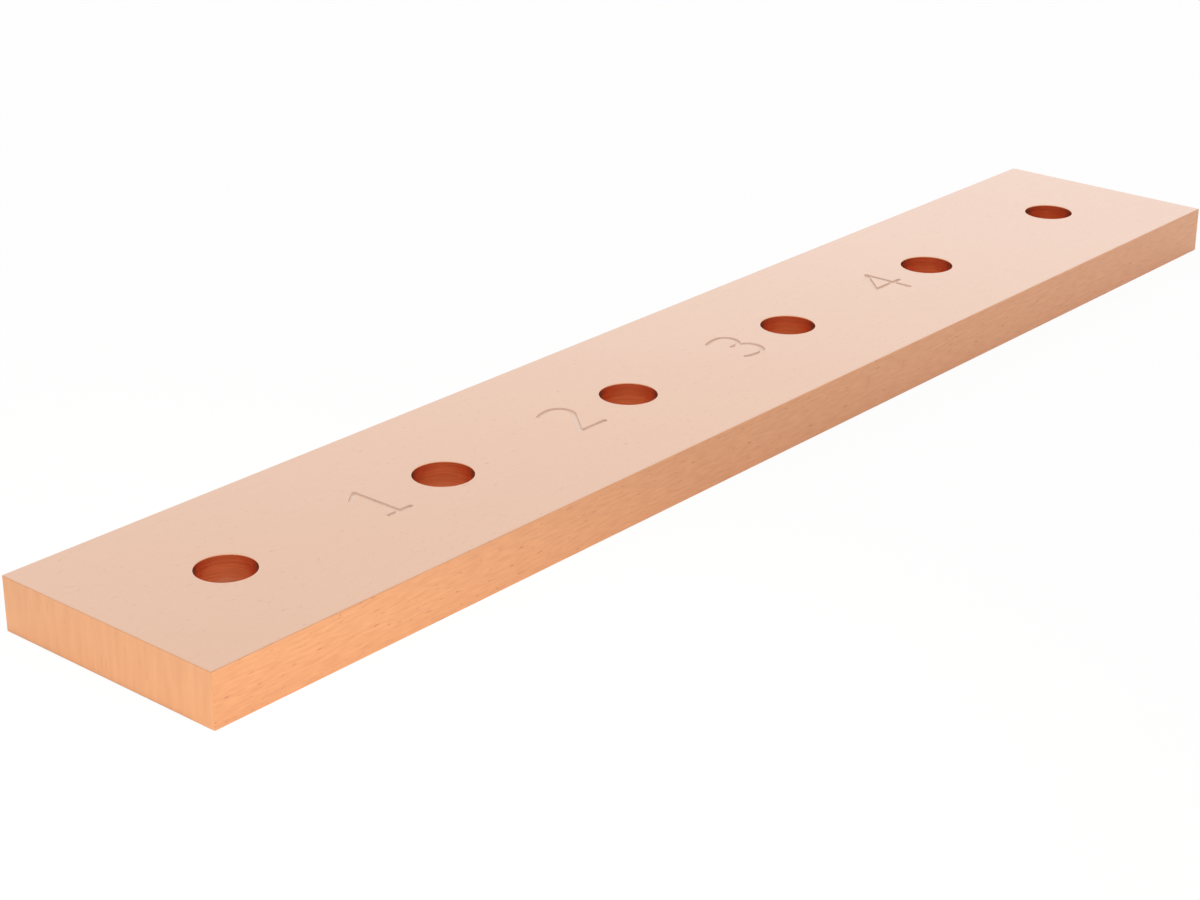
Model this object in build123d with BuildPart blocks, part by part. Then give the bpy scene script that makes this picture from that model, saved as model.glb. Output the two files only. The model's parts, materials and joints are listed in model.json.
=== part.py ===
import os

from build123d import *

# Earth terminal bar. One length of hard-drawn flat copper bar is drilled on its centre line. The
# two end holes bolt it to its supports. Each hole between them takes the lug of one earth
# conductor, and has its number engraved beside it.
# Lengths are in millimetres and angles in degrees. The bar lies along X on its flat underside with
# the numbers up, and the origin is the middle of the underside.

# Flat bar
bar_width = 50.0
bar_thickness = 10.0
edge_radius = 0.2  # every edge of the cut length, broken by hand

# Row of holes
hole_pitch = 50.0
end_margin = 25.0  # from each end of the bar to its fixing hole
terminal_hole_diameter = 11.0  # clearance for an M10 bolt
fixing_hole_diameter = 10.5
deburr = 0.2  # burr taken off both mouths of every hole

# Engraved numbers, cut by following single strokes with a round cutter
numeral_height = 12.0
numeral_width = 9.3
stroke_width = 1.0  # cutter diameter
engraving_depth = 0.4
numeral_clearance = 6.1  # plain metal between a number and the rim of its hole
numeral_rise = 0.3  # the row of numbers stands this far above the row of holes

# The cutter's centre keeps half a stroke inside the number's outline.
reach_x = (numeral_width - stroke_width) / 2
reach_y = (numeral_height - stroke_width) / 2


def one():
    stem = 0.1 * reach_x
    half_foot = 0.6 * reach_x
    flag_tip = 0.62 * reach_y
    with BuildLine() as flag_and_stem:
        Polyline((stem - 0.68 * reach_x, flag_tip), (stem, reach_y), (stem, -reach_y))
    with BuildLine() as foot:
        Line((stem - half_foot, -reach_y), (stem + half_foot, -reach_y))
    return [flag_and_stem.wire(), foot.wire()]


def two():
    half_base = 0.81 * reach_x
    hook_tip = 0.85 * reach_y
    with BuildLine() as stroke:
        TangentArc((0, reach_y), (-half_base, hook_tip), tangent=(-1, 0))
        bowl = JernArc((0, reach_y), (1, 0), radius=reach_y / 2, arc_size=-130)
        Polyline(bowl @ 1, (-half_base, -reach_y), (half_base, -reach_y))
    return [stroke.wire()]


def three():
    half_tip = 0.82 * reach_x
    tip = 0.87 * reach_y
    waist = 0.08 * reach_y
    with BuildLine() as upper:
        TangentArc((0, reach_y), (-half_tip, tip), tangent=(-1, 0))
        bowl = JernArc((0, reach_y), (1, 0), radius=(reach_y - waist) / 2, arc_size=-180)
        Line(bowl @ 1, (-half_tip / 3, waist))
    with BuildLine() as lower:
        bowl = JernArc((0, waist), (1, 0), radius=(reach_y + waist) / 2, arc_size=-180)
        TangentArc(bowl @ 1, (-half_tip, -tip), tangent=(-1, 0))
    return [upper.wire(), lower.wire()]


def four():
    stem = 0.5 * reach_x
    crossbar = -0.24 * reach_y
    with BuildLine() as upright:
        Line((stem, reach_y), (stem, -reach_y))
    with BuildLine() as arm:
        Polyline((stem, reach_y), (-reach_x, crossbar), (reach_x, crossbar))
    return [upright.wire(), arm.wire()]


# One terminal for each number, and a fixing hole one pitch beyond the first and the last.
numerals = [one(), two(), three(), four()]
terminal_spread = (len(numerals) - 1) * hole_pitch
fixing_spread = terminal_spread + 2 * hole_pitch
bar_length = fixing_spread + 2 * end_margin
numeral_offset = terminal_hole_diameter / 2 + numeral_clearance + numeral_width / 2
numbered_face = Plane.XY.offset(bar_thickness)

with BuildPart() as earth_bar:
    with BuildSketch():
        Rectangle(bar_length, bar_width)
    extrude(amount=bar_thickness)
    fillet(earth_bar.edges(), edge_radius)

    with Locations(numbered_face):
        with GridLocations(hole_pitch, 0, len(numerals), 1):
            Hole(terminal_hole_diameter / 2)
        with GridLocations(fixing_spread, 0, 2, 1):
            Hole(fixing_hole_diameter / 2)
    hole_rims = earth_bar.edges().filter_by(GeomType.CIRCLE).filter_by(lambda edge: edge.is_closed)
    chamfer(hole_rims, deburr)

    with BuildSketch(numbered_face):
        for index, strokes in enumerate(numerals):
            hole_x = index * hole_pitch - terminal_spread / 2
            with Locations((hole_x - numeral_offset, numeral_rise)):
                for stroke in strokes:
                    SlotArc(stroke, stroke_width)
    extrude(amount=-engraving_depth, mode=Mode.SUBTRACT)

earth_bar.part.label = "earth_bar"

os.makedirs("parts", exist_ok=True)
export_step(earth_bar.part, "parts/earth_bar.step")
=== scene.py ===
import json
import math

import bpy
from mathutils import Matrix, Vector


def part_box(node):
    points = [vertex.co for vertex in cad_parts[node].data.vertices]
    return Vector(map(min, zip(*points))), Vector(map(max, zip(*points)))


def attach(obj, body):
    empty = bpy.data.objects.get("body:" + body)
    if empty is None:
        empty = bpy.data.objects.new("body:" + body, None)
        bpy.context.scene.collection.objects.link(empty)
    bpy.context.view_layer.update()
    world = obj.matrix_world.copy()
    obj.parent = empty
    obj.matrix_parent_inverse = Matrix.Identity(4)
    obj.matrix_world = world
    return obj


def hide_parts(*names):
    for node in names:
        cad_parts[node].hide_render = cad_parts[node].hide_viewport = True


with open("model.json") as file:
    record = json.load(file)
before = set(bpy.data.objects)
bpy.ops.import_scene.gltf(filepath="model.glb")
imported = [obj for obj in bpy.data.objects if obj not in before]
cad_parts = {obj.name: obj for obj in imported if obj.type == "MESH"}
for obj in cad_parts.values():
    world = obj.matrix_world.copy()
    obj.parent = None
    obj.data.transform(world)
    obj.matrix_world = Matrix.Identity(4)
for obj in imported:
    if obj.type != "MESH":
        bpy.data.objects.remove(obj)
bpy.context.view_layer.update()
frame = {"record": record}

# Bar blank
# One length of hard-drawn flat copper bar. Its narrow sides are as the drawing die left them, its
# wide faces are brushed lengthways and its ends are sawn. A thin clear film keeps the metal bright.
MM = 0.001
bar_low, bar_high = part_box("earth_bar")
bar_length, bar_width, bar_thickness = (high - low for low, high in zip(bar_low, bar_high))


def linear(hex_colour):
    channels = [int(hex_colour[i:i + 2], 16) / 255 for i in (1, 3, 5)]
    return [c / 12.92 if c <= 0.04045 else ((c + 0.055) / 1.055) ** 2.4 for c in channels] + [1.0]


def add_node(tree, kind, inputs=None, **settings):
    """Add a node. An input is a plain value, a socket, or a node whose first output is meant."""
    node = tree.nodes.new(kind)
    for name, value in settings.items():
        setattr(node, name, value)
    for name, value in (inputs or {}).items():
        source = value.outputs[0] if isinstance(value, bpy.types.Node) else value
        if isinstance(source, bpy.types.NodeSocket):
            tree.links.new(source, node.inputs[name])
        else:
            node.inputs[name].default_value = source
    return node


def copper_finish(name, bright, dull, roughness, along, lines, line_tone, flecks, fleck_tone, depth,
                  matt=0.0, film=1.0):
    """Copper with fine lines and sparse flecks, each a length along the given axes and a width.

    The matt share of a torn surface scatters light evenly, and the rest mirrors it.
    """
    line_low, line_high = 0.3, 0.7  # the middle of the noise, so that lines run into each other
    fleck_low, fleck_high = 0.64, 0.8  # only its rare peaks, so that flecks are sparse
    unevenness = 0.05  # of the roughness, from line to line
    film_roughness = 0.15
    material = bpy.data.materials.new(name)
    material.use_nodes = True
    tree = material.node_tree
    tree.nodes.clear()
    place = add_node(tree, "ShaderNodeTexCoord").outputs["Object"]
    marks = []
    for length, width in (lines, flecks):
        scale = [1 / length if axis in along else 1 / width for axis in "XYZ"]
        stretched = add_node(tree, "ShaderNodeMapping", {"Vector": place, "Scale": scale})
        marks.append(add_node(tree, "ShaderNodeTexNoise", {"Vector": stretched, "Scale": 1.0}))
    lined = add_node(tree, "ShaderNodeMapRange",
                     {"Value": marks[0], "From Min": line_low, "From Max": line_high,
                      "To Max": line_tone})
    flecked = add_node(tree, "ShaderNodeMapRange",
                       {"Value": marks[1], "From Min": fleck_low, "From Max": fleck_high,
                        "To Max": fleck_tone})
    tone = add_node(tree, "ShaderNodeMath", {0: lined, 1: flecked}, operation="ADD", use_clamp=True)
    # A colour Mix has its factor at 0, its two colours at 6 and 7, and its result at 2.
    colour = add_node(tree, "ShaderNodeMix", {0: tone, 6: linear(bright), 7: linear(dull)},
                      data_type="RGBA")
    rough = add_node(tree, "ShaderNodeMapRange",
                     {"Value": marks[0], "To Min": roughness - unevenness,
                      "To Max": roughness + unevenness})
    bump = add_node(tree, "ShaderNodeBump", {"Height": tone, "Distance": depth}, invert=True)
    shader = add_node(tree, "ShaderNodeBsdfPrincipled",
                      {"Base Color": colour.outputs[2], "Metallic": 1 - matt, "Roughness": rough,
                       "Coat Weight": film, "Coat Roughness": film_roughness,
                       "Normal": bump.outputs["Normal"]})
    add_node(tree, "ShaderNodeOutputMaterial", {"Surface": shader})
    return material


# Brushing leaves close hairlines along the bar and a few short scratches, which give a pale satin
# sheen. The real hairlines are some 0.05 mm wide, and are drawn coarser so that they show.
brushed_face = copper_finish("copper_brushed_face", "#F7C8AA", "#D49A78", roughness=0.3, along="X",
                             lines=(5 * MM, 0.3 * MM), line_tone=0.05,
                             flecks=(1.2 * MM, 0.6 * MM), fleck_tone=0.4, depth=0.0004 * MM)
# The drawing die leaves long faint streaks, and handling leaves short nicks along them. The narrow
# sides are given a darker, more orange copper than the faces: painted shade of the upright sides.
shaded_drawn_side = copper_finish("copper_drawn_side", "#E6A371", "#B06236", roughness=0.4, along="X",
                           lines=(4 * MM, 0.5 * MM), line_tone=0.22,
                           flecks=(2.4 * MM, 0.5 * MM), fleck_tone=0.9, depth=0.004 * MM)
# The saw blade leaves upright strokes of uneven brightness. The ends are given the same darker,
# more orange copper as the sides: painted shade of the upright ends.
shaded_sawn_end = copper_finish("copper_sawn_end", "#E5A470", "#BC7644", roughness=0.45, along="Z",
                         lines=(12 * MM, 1.4 * MM), line_tone=0.16,
                         flecks=(5 * MM, 0.6 * MM), fleck_tone=0.4, depth=0.002 * MM)

shaping = bpy.data.node_groups.new("shape_earth_bar", "GeometryNodeTree")
shaping.interface.new_socket("Bar", in_out="OUTPUT", socket_type="NodeSocketGeometry")
shaping.interface.new_socket("Strokes", in_out="INPUT", socket_type="NodeSocketGeometry")
given = add_node(shaping, "NodeGroupInput")
sizes = {}


def size(name, value):
    """Add a named input to the tree, note its value for the modifier and return its socket."""
    kind = "NodeSocketInt" if isinstance(value, int) else "NodeSocketFloat"
    sizes[shaping.interface.new_socket(name, in_out="INPUT", socket_type=kind).identifier] = value
    return given.outputs[name]


length = size("Length", bar_length)
width = size("Width", bar_width)
thickness = size("Thickness", bar_thickness)
bar_size = add_node(shaping, "ShaderNodeCombineXYZ", {"X": length, "Y": width, "Z": thickness})
half_up = add_node(shaping, "ShaderNodeMath", {0: thickness, 1: 0.5}, operation="MULTIPLY")
lift = add_node(shaping, "ShaderNodeCombineXYZ", {"Z": half_up})
blank = add_node(shaping, "GeometryNodeMeshCube", {"Size": bar_size})
blank = add_node(shaping, "GeometryNodeTransform", {"Geometry": blank, "Translation": lift})
blank = add_node(shaping, "GeometryNodeSetMaterial", {"Geometry": blank, "Material": brushed_face})
normal = add_node(shaping, "GeometryNodeInputNormal")
facing = add_node(shaping, "ShaderNodeVectorMath", {0: normal}, operation="ABSOLUTE")
facing = add_node(shaping, "ShaderNodeSeparateXYZ", {"Vector": facing}).outputs
square_on = 0.5  # a face belongs to an axis when its normal has more than this share along it
for axis, finish in (("Y", shaded_drawn_side), ("X", shaded_sawn_end)):
    chosen = add_node(shaping, "FunctionNodeCompare", {"A": facing[axis], "B": square_on},
                      operation="GREATER_THAN")
    blank = add_node(shaping, "GeometryNodeSetMaterial",
                     {"Geometry": blank, "Selection": chosen, "Material": finish})

# Holes
# A row on the centre line: four clearance holes for the bolts of the earth conductors, and a
# fixing hole near each end. They are drilled, and both their mouths are deburred.
mounts = {mount["name"]: mount for mount in frame["record"]["mounts"]}
terminals = [mount for name, mount in sorted(mounts.items()) if name.startswith("terminal_")]
terminal_x = [mount["pos_m"][0] for mount in terminals]
terminal_radius = terminals[0]["dims"]["r_mm"] * MM
fixing = mounts["fixing_holes"]["dims"]
bore_facets = 128
drill_reach = 3.0  # the drill's length over the bar's thickness, so that it clears both faces
corner_angle = math.radians(45)
# The drill leaves fine rings round a smooth bore, bare of the film. With only copper and floor to
# mirror, the metal shows its deepest red there. The real rings lie some 0.1 mm apart, and are drawn
# coarser so that they show.
drilled_bore = copper_finish("copper_drilled_bore", "#FAB48D", "#CA7C51", roughness=0.18, along="XY",
                             lines=(9 * MM, 0.4 * MM), line_tone=0.5,
                             flecks=(5 * MM, 0.3 * MM), fleck_tone=0.4, depth=0.008 * MM,
                             matt=0.08, film=0.0)

through = add_node(shaping, "ShaderNodeMath", {0: thickness, 1: drill_reach}, operation="MULTIPLY")
drilled = add_node(shaping, "GeometryNodeMeshBoolean", {"Mesh 1": blank},
                   operation="DIFFERENCE", solver="EXACT")
for count, spread, radius in (
    (size("Terminals", len(terminals)), size("Hole Pitch", terminal_x[1] - terminal_x[0]),
     size("Terminal Radius", terminal_radius)),
    (size("Fixings", 2), size("Fixing Spread", fixing["spacing_x_mm"] * MM),
     size("Fixing Radius", fixing["hole_r_mm"] * MM)),
):
    gaps = add_node(shaping, "ShaderNodeMath", {0: count, 1: 1.0}, operation="SUBTRACT")
    row = add_node(shaping, "ShaderNodeMath", {0: gaps, 1: spread}, operation="MULTIPLY")
    first = add_node(shaping, "ShaderNodeMath", {0: row, 1: -0.5}, operation="MULTIPLY")
    start = add_node(shaping, "ShaderNodeCombineXYZ", {"X": first})
    step = add_node(shaping, "ShaderNodeCombineXYZ", {"X": spread})
    places = add_node(shaping, "GeometryNodeMeshLine",
                      {"Count": count, "Start Location": start, "Offset": step})
    drill = add_node(shaping, "GeometryNodeMeshCylinder",
                     {"Vertices": bore_facets, "Radius": radius, "Depth": through})
    drill = add_node(shaping, "GeometryNodeSetMaterial", {"Geometry": drill, "Material": drilled_bore})
    drill = add_node(shaping, "GeometryNodeInstanceOnPoints", {"Points": places, "Instance": drill})
    drill = add_node(shaping, "GeometryNodeRealizeInstances", {"Geometry": drill})
    shaping.links.new(drill.outputs[0], drilled.inputs["Mesh 2"])
# The corners there now, round the blank and the mouths of its holes, are marked to be broken later.
angle = add_node(shaping, "GeometryNodeInputMeshEdgeAngle")
corner = add_node(shaping, "FunctionNodeCompare", {"A": angle, "B": corner_angle},
                  operation="GREATER_THAN")
drilled = add_node(shaping, "GeometryNodeStoreNamedAttribute",
                   {"Geometry": drilled, "Selection": corner,
                    "Name": "bevel_weight_edge", "Value": 1.0},
                   data_type="FLOAT", domain="EDGE")

# Engraved numbers
# Each terminal hole has its number on its left, cut by a round cutter that follows single strokes.
# So every stroke is as wide as the cutter, ends round and has a level floor.
numeral_height = 12.0 * MM
numeral_width = 9.3 * MM
stroke_width = 1.0 * MM
engraving_depth = 0.4 * MM
numeral_clearance = 6.1 * MM
numeral_rise = 0.3 * MM
reach_x = (numeral_width - stroke_width) / 2
reach_y = (numeral_height - stroke_width) / 2
arc_step_deg = 4
cutter_facets = 48
# The cutter leaves matt metal, pale on the floor. The walls are given a darker, greyer colour than
# the floor: painted shade of the groove's upright walls. Seen low down, a number is only thin soft
# lines, where a wall is turned to the eye. From above it is pale. The real tool marks are some
# 0.1 mm wide, and are drawn coarser so that they show.
shaded_engraved_wall = copper_finish("copper_engraved_wall", "#ECD2C4", "#DABDAE", roughness=0.7, along="XY",
                              lines=(3 * MM, 0.3 * MM), line_tone=0.3,
                              flecks=(2 * MM, 0.3 * MM), fleck_tone=0.3, depth=0.002 * MM,
                              matt=0.95, film=0.0)
engraved_floor = copper_finish("copper_engraved_floor", "#FFE1CB", "#F0CDB4", roughness=0.6, along="XY",
                               lines=(3 * MM, 0.3 * MM), line_tone=0.1,
                               flecks=(2 * MM, 0.3 * MM), fleck_tone=0.2, depth=0.002 * MM,
                               matt=0.95)


def arc(centre_x, centre_y, radius, start_deg, sweep_deg):
    count = math.ceil(abs(sweep_deg) / arc_step_deg)
    turns = [math.radians(start_deg + sweep_deg * i / count) for i in range(count + 1)]
    return [(centre_x + radius * math.cos(t), centre_y + radius * math.sin(t)) for t in turns]


def flat_arc(peak_y, tip_x, tip_y):
    """A shallow arc from a level peak on the number's centre line to its tip."""
    down = tip_y - peak_y
    radius = (tip_x ** 2 + down ** 2) / (2 * down)
    return arc(0, peak_y + radius, radius, -90, math.degrees(math.asin(tip_x / radius)))


def one():
    stem = 0.1 * reach_x
    half_foot = 0.6 * reach_x
    flag_tip = (stem - 0.68 * reach_x, 0.62 * reach_y)
    flag = [flag_tip, (stem, reach_y)]
    upright = [(stem, reach_y), (stem, -reach_y)]
    foot = [(stem - half_foot, -reach_y), (stem + half_foot, -reach_y)]
    return [flag, upright, foot]


def two():
    half_base = 0.81 * reach_x
    hook_tip = 0.85 * reach_y
    bowl_sweep_deg = -130
    hook = flat_arc(reach_y, -half_base, hook_tip)
    bowl = arc(0, reach_y / 2, reach_y / 2, 90, bowl_sweep_deg)
    slope = [bowl[-1], (-half_base, -reach_y)]
    base = [(-half_base, -reach_y), (half_base, -reach_y)]
    return [hook, bowl, slope, base]


def three():
    half_tip = 0.82 * reach_x
    tip = 0.87 * reach_y
    waist = 0.08 * reach_y
    upper_radius = (reach_y - waist) / 2
    lower_radius = (reach_y + waist) / 2
    top = flat_arc(reach_y, -half_tip, tip)
    upper = arc(0, reach_y - upper_radius, upper_radius, 90, -180)
    middle = [(0, waist), (-half_tip / 3, waist)]
    lower = arc(0, waist - lower_radius, lower_radius, 90, -180)
    bottom = flat_arc(-reach_y, -half_tip, -tip)
    return [top, upper, middle, lower, bottom]


def four():
    stem = 0.5 * reach_x
    crossbar = -0.24 * reach_y
    upright = [(stem, reach_y), (stem, -reach_y)]
    slope = [(stem, reach_y), (-reach_x, crossbar)]
    arm = [(-reach_x, crossbar), (reach_x, crossbar)]
    return [upright, slope, arm]


strokes = bpy.data.curves.new("number_strokes", "CURVE")
strokes.dimensions = "3D"
for hole_x, numeral in zip(terminal_x, (one, two, three, four)):
    numeral_x = hole_x - terminal_radius - numeral_clearance - numeral_width / 2
    for run in numeral():
        spline = strokes.splines.new("POLY")
        spline.points.add(len(run) - 1)
        for point, (x, y) in zip(spline.points, run):
            point.co = (numeral_x + x, numeral_rise + y, bar_thickness, 1)

stroke = size("Stroke Width", stroke_width)
depth = size("Engraving Depth", engraving_depth)
# The cutter's middle follows the face, so it is twice as high as its cut is deep.
cutter_height = add_node(shaping, "ShaderNodeMath", {0: depth, 1: 2.0}, operation="MULTIPLY")
groove = add_node(shaping, "GeometryNodeCurvePrimitiveQuadrilateral",
                  {"Width": stroke, "Height": cutter_height})
swept = add_node(shaping, "GeometryNodeCurveToMesh",
                 {"Curve": given.outputs["Strokes"], "Profile Curve": groove, "Fill Caps": True})
cutter_radius = add_node(shaping, "ShaderNodeMath", {0: stroke, 1: 0.5}, operation="MULTIPLY")
cutter = add_node(shaping, "GeometryNodeMeshCylinder",
                  {"Vertices": cutter_facets, "Radius": cutter_radius, "Depth": cutter_height})
ends = add_node(shaping, "GeometryNodeCurveEndpointSelection")
plunges = add_node(shaping, "GeometryNodeInstanceOnPoints",
                   {"Points": given.outputs["Strokes"], "Selection": ends, "Instance": cutter})
plunges = add_node(shaping, "GeometryNodeRealizeInstances", {"Geometry": plunges})
tool_path = add_node(shaping, "GeometryNodeJoinGeometry")
for part in (swept, plunges):
    shaping.links.new(part.outputs[0], tool_path.inputs["Geometry"])
tool_path = add_node(shaping, "GeometryNodeSetMaterial",
                     {"Geometry": tool_path, "Material": shaded_engraved_wall})
engraved = add_node(shaping, "GeometryNodeMeshBoolean",
                    {"Mesh 1": drilled, "Mesh 2": tool_path, "Self Intersection": True},
                    operation="DIFFERENCE", solver="EXACT")

# Finished bar
# The cut bar in one piece. Its edges and the mouths of its holes are broken with a small round,
# and only the edges of the engraving stay sharp.
edge_radius = 0.2 * MM
edge_steps = 4  # an even number, so that two finishes meet halfway round an edge
level_tolerance = 0.05 * MM

smooth = add_node(shaping, "GeometryNodeSetShadeSmooth", {"Geometry": engraved}, domain="FACE")
broken = add_node(shaping, "GeometryNodeInputNamedAttribute", {"Name": "bevel_weight_edge"},
                  data_type="FLOAT")
crisp = add_node(shaping, "FunctionNodeBooleanMath", {0: corner, 1: broken}, operation="NIMPLY")
sharp = add_node(shaping, "GeometryNodeSetShadeSmooth",
                 {"Geometry": smooth, "Selection": crisp, "Shade Smooth": False}, domain="EDGE")
whole = add_node(shaping, "GeometryNodeRealizeInstances", {"Geometry": sharp})
place = add_node(shaping, "GeometryNodeInputPosition")
level = add_node(shaping, "ShaderNodeSeparateXYZ", {"Vector": place}).outputs["Z"]
cut_level = add_node(shaping, "ShaderNodeMath", {0: thickness, 1: depth}, operation="SUBTRACT")
cut_floor = add_node(shaping, "FunctionNodeCompare",
                     {"A": level, "B": cut_level, "Epsilon": level_tolerance}, operation="EQUAL")
whole = add_node(shaping, "GeometryNodeSetMaterial",
                 {"Geometry": whole, "Selection": cut_floor, "Material": engraved_floor})
add_node(shaping, "NodeGroupOutput", {"Bar": whole})

source = bpy.data.objects.new("number_strokes", strokes)
bpy.context.scene.collection.objects.link(source)
modifier = source.modifiers.new("shape_earth_bar", "NODES")
modifier.node_group = shaping
for identifier, value in sizes.items():
    modifier[identifier] = value
mesh = bpy.data.meshes.new_from_object(source.evaluated_get(bpy.context.evaluated_depsgraph_get()))
bpy.data.objects.remove(source)
earth_bar = bpy.data.objects.new("copper_earth_bar", mesh)
bpy.context.scene.collection.objects.link(earth_bar)
broken_edges = earth_bar.modifiers.new("broken_edges", "BEVEL")
broken_edges.limit_method = "WEIGHT"
broken_edges.width = edge_radius
broken_edges.segments = edge_steps
broken_edges.harden_normals = True
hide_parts("earth_bar")
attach(earth_bar, "root")

# Floor
# A white painted floor, seen as plain white with only the bar's own soft shadow. The metal sees it
# a little brighter than paint alone, as it would in a room with white walls.
half_floor = 3000 * MM
floor_drop = 0.05 * MM
shown_white = 0.95  # share of plain white that the camera sees
mirrored_white = 0.35  # share of plain white that the metal mirrors

floor_mesh = bpy.data.meshes.new("floor")
square = ((-1, -1), (1, -1), (1, 1), (-1, 1))
corners = [(x * half_floor, y * half_floor, -floor_drop) for x, y in square]
floor_mesh.from_pydata(corners, [], [(0, 1, 2, 3)])
floor = bpy.data.objects.new("floor", floor_mesh)
bpy.context.scene.collection.objects.link(floor)
floor_paint = bpy.data.materials.new("white_floor_paint")
floor_paint.use_nodes = True
tree = floor_paint.node_tree
tree.nodes.clear()
ray = add_node(tree, "ShaderNodeLightPath").outputs
seen = add_node(tree, "ShaderNodeMath", {0: ray["Is Camera Ray"], 1: shown_white}, operation="MULTIPLY")
for kind in ("Is Glossy Ray", "Is Transmission Ray"):
    seen = add_node(tree, "ShaderNodeMath", {0: ray[kind], 1: mirrored_white, 2: seen},
                    operation="MULTIPLY_ADD", use_clamp=True)
painted = add_node(tree, "ShaderNodeBsdfDiffuse", {"Color": linear("#F8F8F8")})
backdrop = add_node(tree, "ShaderNodeEmission", {"Color": linear("#FFFFFF"), "Strength": 1.0})
surface = add_node(tree, "ShaderNodeMixShader", {0: seen, 1: painted, 2: backdrop})
add_node(tree, "ShaderNodeOutputMaterial", {"Surface": surface})
floor_mesh.materials.append(floor_paint)

# Sky and lamp
# An even white room lights the bar, brightest low down. A small lamp lights nothing but a pool of
# floor beside the near end, and the near half of the sides mirrors that pool.
low_white, high_white = "#F8FCFF", "#E1E0DE"
low_until, high_from = 0.30, 0.41  # heights of a direction, as the sine of its elevation
room_strength = 1.1
lamp_place = Vector((-130, -530, 500)) * MM
lamp_aim = Vector((-135, -35, 0)) * MM

world = bpy.data.worlds.new("white_room")
world.use_nodes = True
tree = world.node_tree
tree.nodes.clear()
upward = add_node(tree, "ShaderNodeTexCoord").outputs["Generated"]
upward = add_node(tree, "ShaderNodeSeparateXYZ", {"Vector": upward}).outputs["Z"]
roof = add_node(tree, "ShaderNodeMapRange",
                {"Value": upward, "From Min": low_until, "From Max": high_from},
                interpolation_type="SMOOTHSTEP")
shade = add_node(tree, "ShaderNodeMix", {0: roof, 6: linear(low_white), 7: linear(high_white)},
                 data_type="RGBA")
sky = add_node(tree, "ShaderNodeBackground", {"Color": shade.outputs[2], "Strength": room_strength})
add_node(tree, "ShaderNodeOutputWorld", {"Surface": sky})
bpy.context.scene.world = world

lamp_data = bpy.data.lights.new("floor_lamp", "AREA")
lamp_data.shape = "DISK"
lamp_data.size = 80 * MM
lamp_data.spread = math.radians(20)
lamp_data.energy = 0.0695
lamp_data.color = linear("#FFF4D7")[:3]
lamp = bpy.data.objects.new("floor_lamp", lamp_data)
bpy.context.scene.collection.objects.link(lamp)
lamp.location = lamp_place
lamp.rotation_euler = (lamp_aim - lamp_place).to_track_quat("-Z", "Y").to_euler()
lamp.visible_glossy = False
lit_floor = bpy.data.collections.new("lit_floor")
lit_floor.objects.link(floor)
lamp.light_linking.receiver_collection = lit_floor

# Camera
# The photograph's own view: from the near end, above the numbered face, through a 75 mm lens.
camera_place = Vector((-359.9, -280.09, 183.08)) * MM
camera_aim = Vector((-48.94, -13.55, 9.93)) * MM
camera_roll = math.radians(0.12)

camera_data = bpy.data.cameras.new("camera")
camera_data.lens = 75.0
camera_data.sensor_width = 36.0
camera_data.clip_start = 10 * MM
camera = bpy.data.objects.new("camera", camera_data)
bpy.context.scene.collection.objects.link(camera)
aimed = (camera_aim - camera_place).to_track_quat("-Z", "Y").to_matrix()
turn = aimed @ Matrix.Rotation(camera_roll, 3, "Z")
camera.matrix_world = Matrix.Translation(camera_place) @ turn.to_4x4()
bpy.context.scene.camera = camera
bpy.context.scene.view_settings.view_transform = "Standard"
